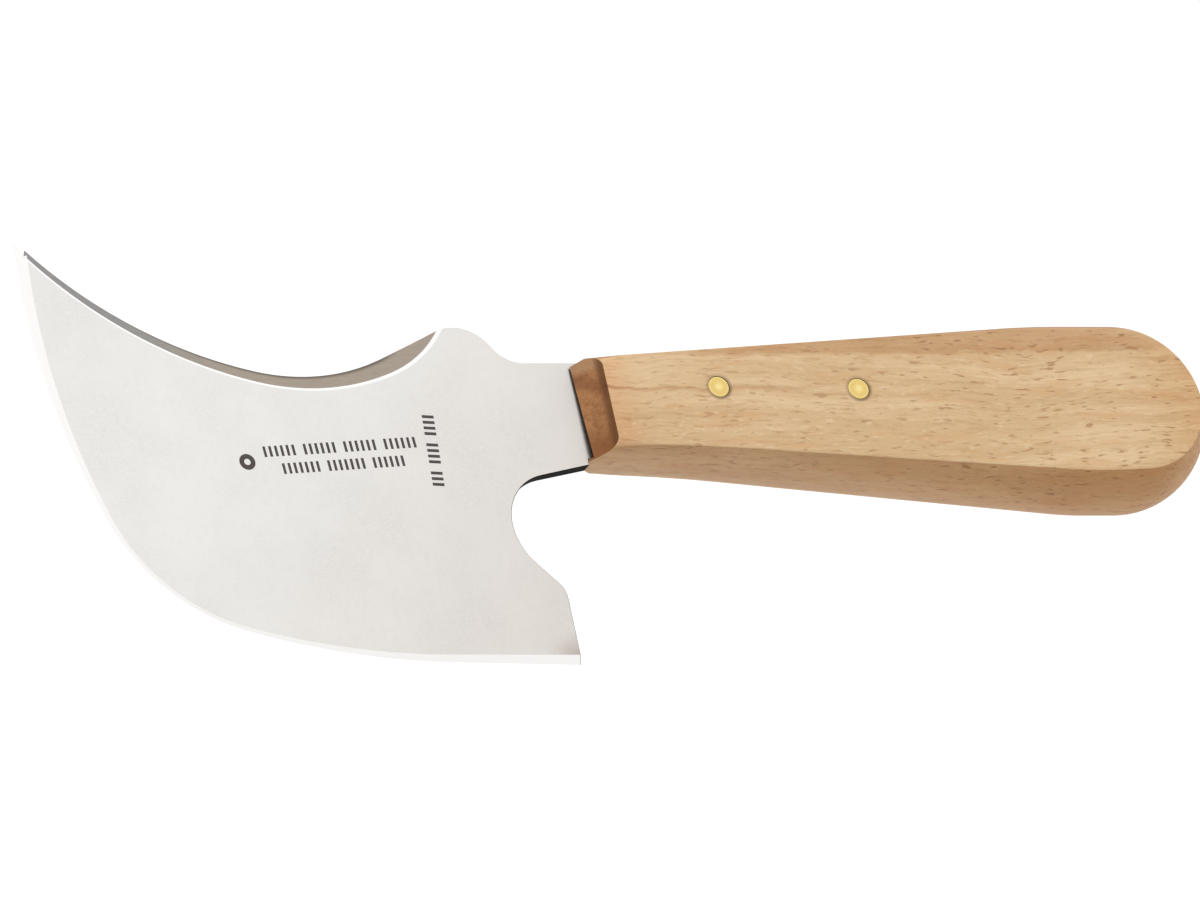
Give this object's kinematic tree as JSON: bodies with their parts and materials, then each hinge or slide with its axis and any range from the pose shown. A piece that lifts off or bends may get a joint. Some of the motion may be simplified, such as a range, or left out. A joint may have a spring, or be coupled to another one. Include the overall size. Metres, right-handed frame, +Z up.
{
  "type": "head knife",
  "caption": "Leatherworker's head knife: a crescent steel blade with a finger notch, on a tang pinned through a tapering one-piece wooden handle.",
  "frame": {"origin": "the middle of the underside of the knife's bounding box, with the knife lying flat", "axes": "+X runs along the knife from the blade to the butt, +Y from the cutting edge towards the back, +Z up through the thickness"},
  "size_m": [0.2194, 0.0802, 0.0187],
  "materials": {
    "steel": "satin, ground",
    "beech": "sanded and lightly oiled",
    "brass": "sanded flush"
  },
  "bodies": {
    "root": {"blade": "steel", "handle": "beech", "pin_front": "brass", "pin_rear": "brass"}
  },
  "joints": []
}
